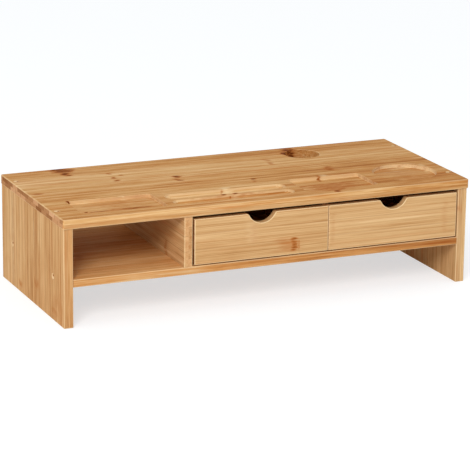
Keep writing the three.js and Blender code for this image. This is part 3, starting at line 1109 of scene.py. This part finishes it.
def bamboo(node, axes, **changes):
    """Places are in millimetres from the grain corner. slope is a change of tone along the grain, as (from,
    to, width across, change). marks are knuckles and patches of painted shade as (along, across, half
    width, reach, strength and, for some, lean), and pales are pale patches of the same form, many of them
    painted highlights. stretch draws all streaks out."""
    wood = {**common_wood, **changes}
    material = bpy.data.materials.new(node + "_wood")
    tree = empty_tree(material)
    grain, facing_end, facing_side = grain_space(tree, grain_axes[axes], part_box(node)[0])
    long = vector_figure(tree, "MULTIPLY", grain, (1 / wood["stretch"], 1, 1))
    layout = {"Grain": long, "Strip": wood["strip"], "Layer": wood["layer"], "Seed": wood["seed"],
              "Spread": wood["spread"], "Drift": wood["drift"], "Cloud": wood["cloud"]}
    strips = add_node(tree, "Group", layout, node_tree=strips_group).outputs
    arris = add_node(tree, "Attribute", attribute_name="arris", attribute_type="GEOMETRY").outputs["Fac"]
    plain = fade(tree, figure(tree, "ABSOLUTE", arris), *plain_fade)
    side = times(tree, fade(tree, facing_side, *side_facing), plain)
    colour = colour_ramp(tree, wood_tone(tree, grain, strips, side, wood), wood["ramp"])
    colour = blend(tree, times(tree, strips["Warm"], wood["warmth"]), colour, ember)
    colour = blend(tree, times(tree, strips["Glue"], glue_share), colour, seam_brown)

    end = times(tree, fade(tree, facing_end, *end_facing, 0.0, wood["end_share"]), plain)
    colour = blend(tree, end, colour, end_grain(tree, grain, strips))
    # Painted highlight: arrises and recess walls by their arris level, and the pale patches, many of which
    # are painted highlights too.
    light = times(tree, arris, wood["edges"])
    light = marks_over(tree, grain, strips, wood["pales"], light)
    colour = blend(tree, light, colour, highlight_pale)
    # Knuckles stain the wood. A negative arris level adds painted shade on the cable hole's wall, and some
    # marks are painted shade: in recesses and corners, at the joint between the drawers and beside the
    # plugs.
    dark = times(tree, strips["Knuckle"], wood["knots"])
    dark = figure(tree, "MAXIMUM", dark, times(tree, arris, -1.0))
    dark = marks_over(tree, grain, strips, wood["marks"], dark)
    colour = blend(tree, fade(tree, dark, *stain_band), colour, knuckle_and_shade_stain)
    colour = blend(tree, fade(tree, dark, *dark_band), colour, knuckle_and_shade_dark)
    lacquer(tree, strips, colour, end, dark)
    return material


# %% [markdown]
# ## Which board gets which wood
# The tones and knuckles below were chosen from the photograph, with some painted shade and painted
# highlights among the marks. On the top the tones run from the front edge to the back: a plain strip and a
# browner one, a paler pair, two darker bands in the middle, then pale quiet strips, and a browner pair
# along the back edge. The front boards of the drawers are the palest wood. The boxes behind them are
# painted browner as a painted shade, so that little light comes back out of the finger notches.

# %% Boards and their wood
top_tones = (0.48, 0.4, 0.54, 0.63, 0.49, 0.48, 0.58, 0.69, 0.74, 0.76, 0.55, 0.54)
# Knuckles, and painted shade: a dark dot in a corner of the left tray and the darker floors of the trays, a
# groove and the cup rest.
top_marks = (
    (80, 232, 14, 22, 1.2), (77, 211, 10, 11, 1.1), (131, 194, 5, 7, 0.6), (144, 181, 4, 7, 0.6),
    (131, 171, 6, 6, 0.7), (130, 157, 4, 8, 0.8), (207, 148, 6, 9, 1.15), (205, 133, 7, 8, 0.95),
    (297, 102, 4, 7, 1.2), (295, 90, 4, 5, 0.7), (356, 188, 9, 9, 0.45), (353, 168, 9, 7, 0.5),
    (416, 122, 7, 13, 0.75), (412, 112, 7, 13, 0.7), (406, 232, 12, 17, 1.2), (395, 206, 16, 9, 1.45),
    (12, 128, 4.5, 13, 0.7), (35, 80, 5, 4, 1.2), (44, 40, 2.5, 4, 1.3), (62, 38.5, 1.5, 28, 0.9),
    (105, 38, 5, 42, 0.9), (89, 50, 29, 85, 0.33), (145, 50, 40, 6, 0.25), (236, 62, 6, 3, 0.5, 0.3),
    (230, 41.5, 3, 6, 1.2), (246, 42, 3, 6, 1.1), (235, 33, 6, 2.5, 0.7, 0.45), (240, 36, 7, 95, 0.38),
    (372, 6, 5, 8, 1.1), (374, 15, 5, 34, 0.6), (372, 38, 8, 40, 0.5), (387, 46, 21, 85, 0.56),
    (382, 80, 8, 4, 0.7), (500, 60, 44, 60, 0.33), (500, 54, 7, 60, 0.33), (485, 97, 8, 45, 0.4),
    (490, 12, 12, 50, 0.2), (60, 117, 16, 170, 0.17), (130, 80, 7, 28, 0.25),
    (80, 81, 3, 5, 0.2), (121, 81, 3, 4, 0.2), (141, 81, 4, 7, 0.2),
)
# Pale patches; most are painted highlights on the walls and rims of the trays, grooves and cup rest.
top_pales = (
    (244, 66, 10, 13, 0.6, 0.3), (243, 33, 6, 9, 0.5), (391, 84, 6, 8, 0.5), (500, 86, 2.2, 45, 0.6),
    (500, 74, 9, 45, 0.2), (508, 101, 5, 26, 0.4), (537, 80, 16, 6, 0.4), (90, 200, 30, 70, 0.1),
    (109, 81, 2.5, 8, 0.6), (58, 81, 2.5, 9, 0.55),
)
left_panel_marks = (
    (29, 103, 9, 11, 0.5), (64, 190, 1.4, 140, 0.4), (12, 166, 8, 8, 0.45), (13, 34, 13, 9, 0.4),
    (50, 6, 14, 120, 0.12), (20, 24, 22, 30, 0.27),
)
left_panel_pales = (
    (64, 197, 7, 140, 0.3), (64, 184, 2, 140, 0.25), (96, 112, 2, 45, 0.3), (102, 92.5, 2, 38, 0.3),
    (64, 215, 5, 140, 0.12),
)
left_front_marks = ((126, 14, 11, 26, 0.42), (135.5, 13, 9.5, 10, 0.78), (138, 21, 1.8, 9, 1.0),
                    (143.5, 12, 8, 2.5, 0.5), (80, 34, 15, 12, 0.25))
# The first mark on the right front is painted shade along its left edge, at the joint between the drawers.
right_front_marks = ((0.3, 30, 45, 1.6, 0.35), (6, 30, 24, 6, 0.2), (168, 30, 26, 9, 0.2))
left_front_pales = ((78, 36, 16, 12, 0.25),)
front_wood = {"ramp": straw_ramp, "strip": 19.8, "layer": 5.0, "stretch": 2.4, "spread": 0.15, "drift": 0.7,
              "cloud": 0.2, "warmth": 0.2, "knots": 0.0, "edges": 1.38, "tones": (0.46,)}


def dress(node, material):
    piece = pieces.get(node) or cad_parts[node]
    if piece.material_slots:
        piece.material_slots[0].material = material
    else:
        piece.data.materials.append(material)


def dress_board(node, axes, **changes):
    wood = bamboo(node, axes, **changes)
    dress(node, wood)
    print(node, "shader nodes:", len(wood.node_tree.nodes))


dress_board("top_board", "flat", strip=20.2, tones=top_tones, marks=top_marks, pales=top_pales, spread=0.12,
            warmth=0.5, knots=0.0, slope=(200, 440, 242, -0.12), edges=0.6, side=0.17)
dress_board("side_panel_left", "standing", ramp=tan_ramp, seed=3.0, spread=0.16, knots=0.2, side=-0.05,
            tones=(0.46,), marks=left_panel_marks, pales=left_panel_pales)
dress_board("side_panel_right", "standing", ramp=straw_ramp, seed=7.0, spread=0.1, drift=0.7, knots=0.3,
            warmth=0.6, side=0.06)
dress_board("shelf_board", "flat", ramp=amber_ramp, seed=11.0, layer=12.0, spread=0.12, drift=0.6,
            cloud=0.25, knots=0.3, warmth=0.25, tones=(0.61,), slope=(150, 200, 20, -0.38), side=0.12)
dress_board("divider_panel", "inward", ramp=tan_ramp, seed=15.0, layer=5.5, spread=0.2, tones=(0.56,),
            end_share=0.36)
dress_board("drawer_partition", "inward", ramp=tan_ramp, seed=19.0, layer=4.5, spread=0.2, end_share=0.3)
dress_board("left_drawer_front", "front", seed=23.0, marks=left_front_marks, pales=left_front_pales,
            **front_wood)
dress_board("right_drawer_front", "front", seed=29.0, marks=right_front_marks, **front_wood)

# %% Drawer boxes, plugs and rods
rod = {"strip": 9.0, "layer": 9.0, "spread": 0.2, "knots": 0.0}
# The plug's mark is painted shade at one side of its rim, where the ring of its well looks dark.
plug_wood = {"ramp": straw_ramp, "tones": (0.85,), "marks": ((5.4, 2.4, 2.0, 2.6, 1.1),)}
# The tone of the drawer boxes is a painted shade: darker wood, so that the finger notches look dark.
thin_board = {"ramp": honey_ramp, "layer": 4.0, "spread": 0.2, "end_share": 0.4, "tones": (0.29,)}


def box_axes(node):
    low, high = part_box(node)
    return "inward" if high.y - low.y > high.x - low.x else "front"


for number, node in enumerate(sorted(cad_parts)):
    seed = 40.0 + number
    if node.endswith("_wall") or node.endswith("drawer_back"):
        dress_board(node, box_axes(node), seed=seed, strip=24.0, **thin_board)
    elif node.endswith("_bottom"):
        dress_board(node, "bottom", seed=seed, strip=30.0, **thin_board)
    elif "_plug_" in node:
        dress_board(node, "standing" if node.startswith("shelf") else "flat", seed=seed, **plug_wood, **rod)
    elif "_dowel_" in node or "_pin_" in node:
        dress_board(node, "standing", seed=seed, **rod)

# %% [markdown]
# ## Screw steel
# The screws are zinc plated. The plating is bright, with a fine grain and a slightly duller tint in
# patches.

# %% Steel
zinc_dull = paint(168, 166, 158)
zinc_bright = paint(206, 203, 194)
zinc_fade = (0.3, 0.7, 0.42, 0.28)
zinc_relief = 0.3
zinc_relief_depth = 0.03 * mm
patch_scale = 260.0
grain_scale = 2200.0


def screw_steel():
    material = bpy.data.materials.new("zinc_plate")
    tree = empty_tree(material)
    place = add_node(tree, "TexCoord").outputs["Object"]
    patch = noise(tree, place, patch_scale, 3.0)
    grain = noise(tree, place, grain_scale, 1.0)
    colour = blend(tree, patch, zinc_dull, zinc_bright)
    rough = fade(tree, patch, *zinc_fade)
    finish_surface(tree, colour, rough, grain, zinc_relief, zinc_relief_depth, "Metallic", 1.0)
    return material


steel = screw_steel()
screws = [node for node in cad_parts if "_screw_" in node]
for node in screws:
    dress(node, steel)
print("steel screws:", len(screws))
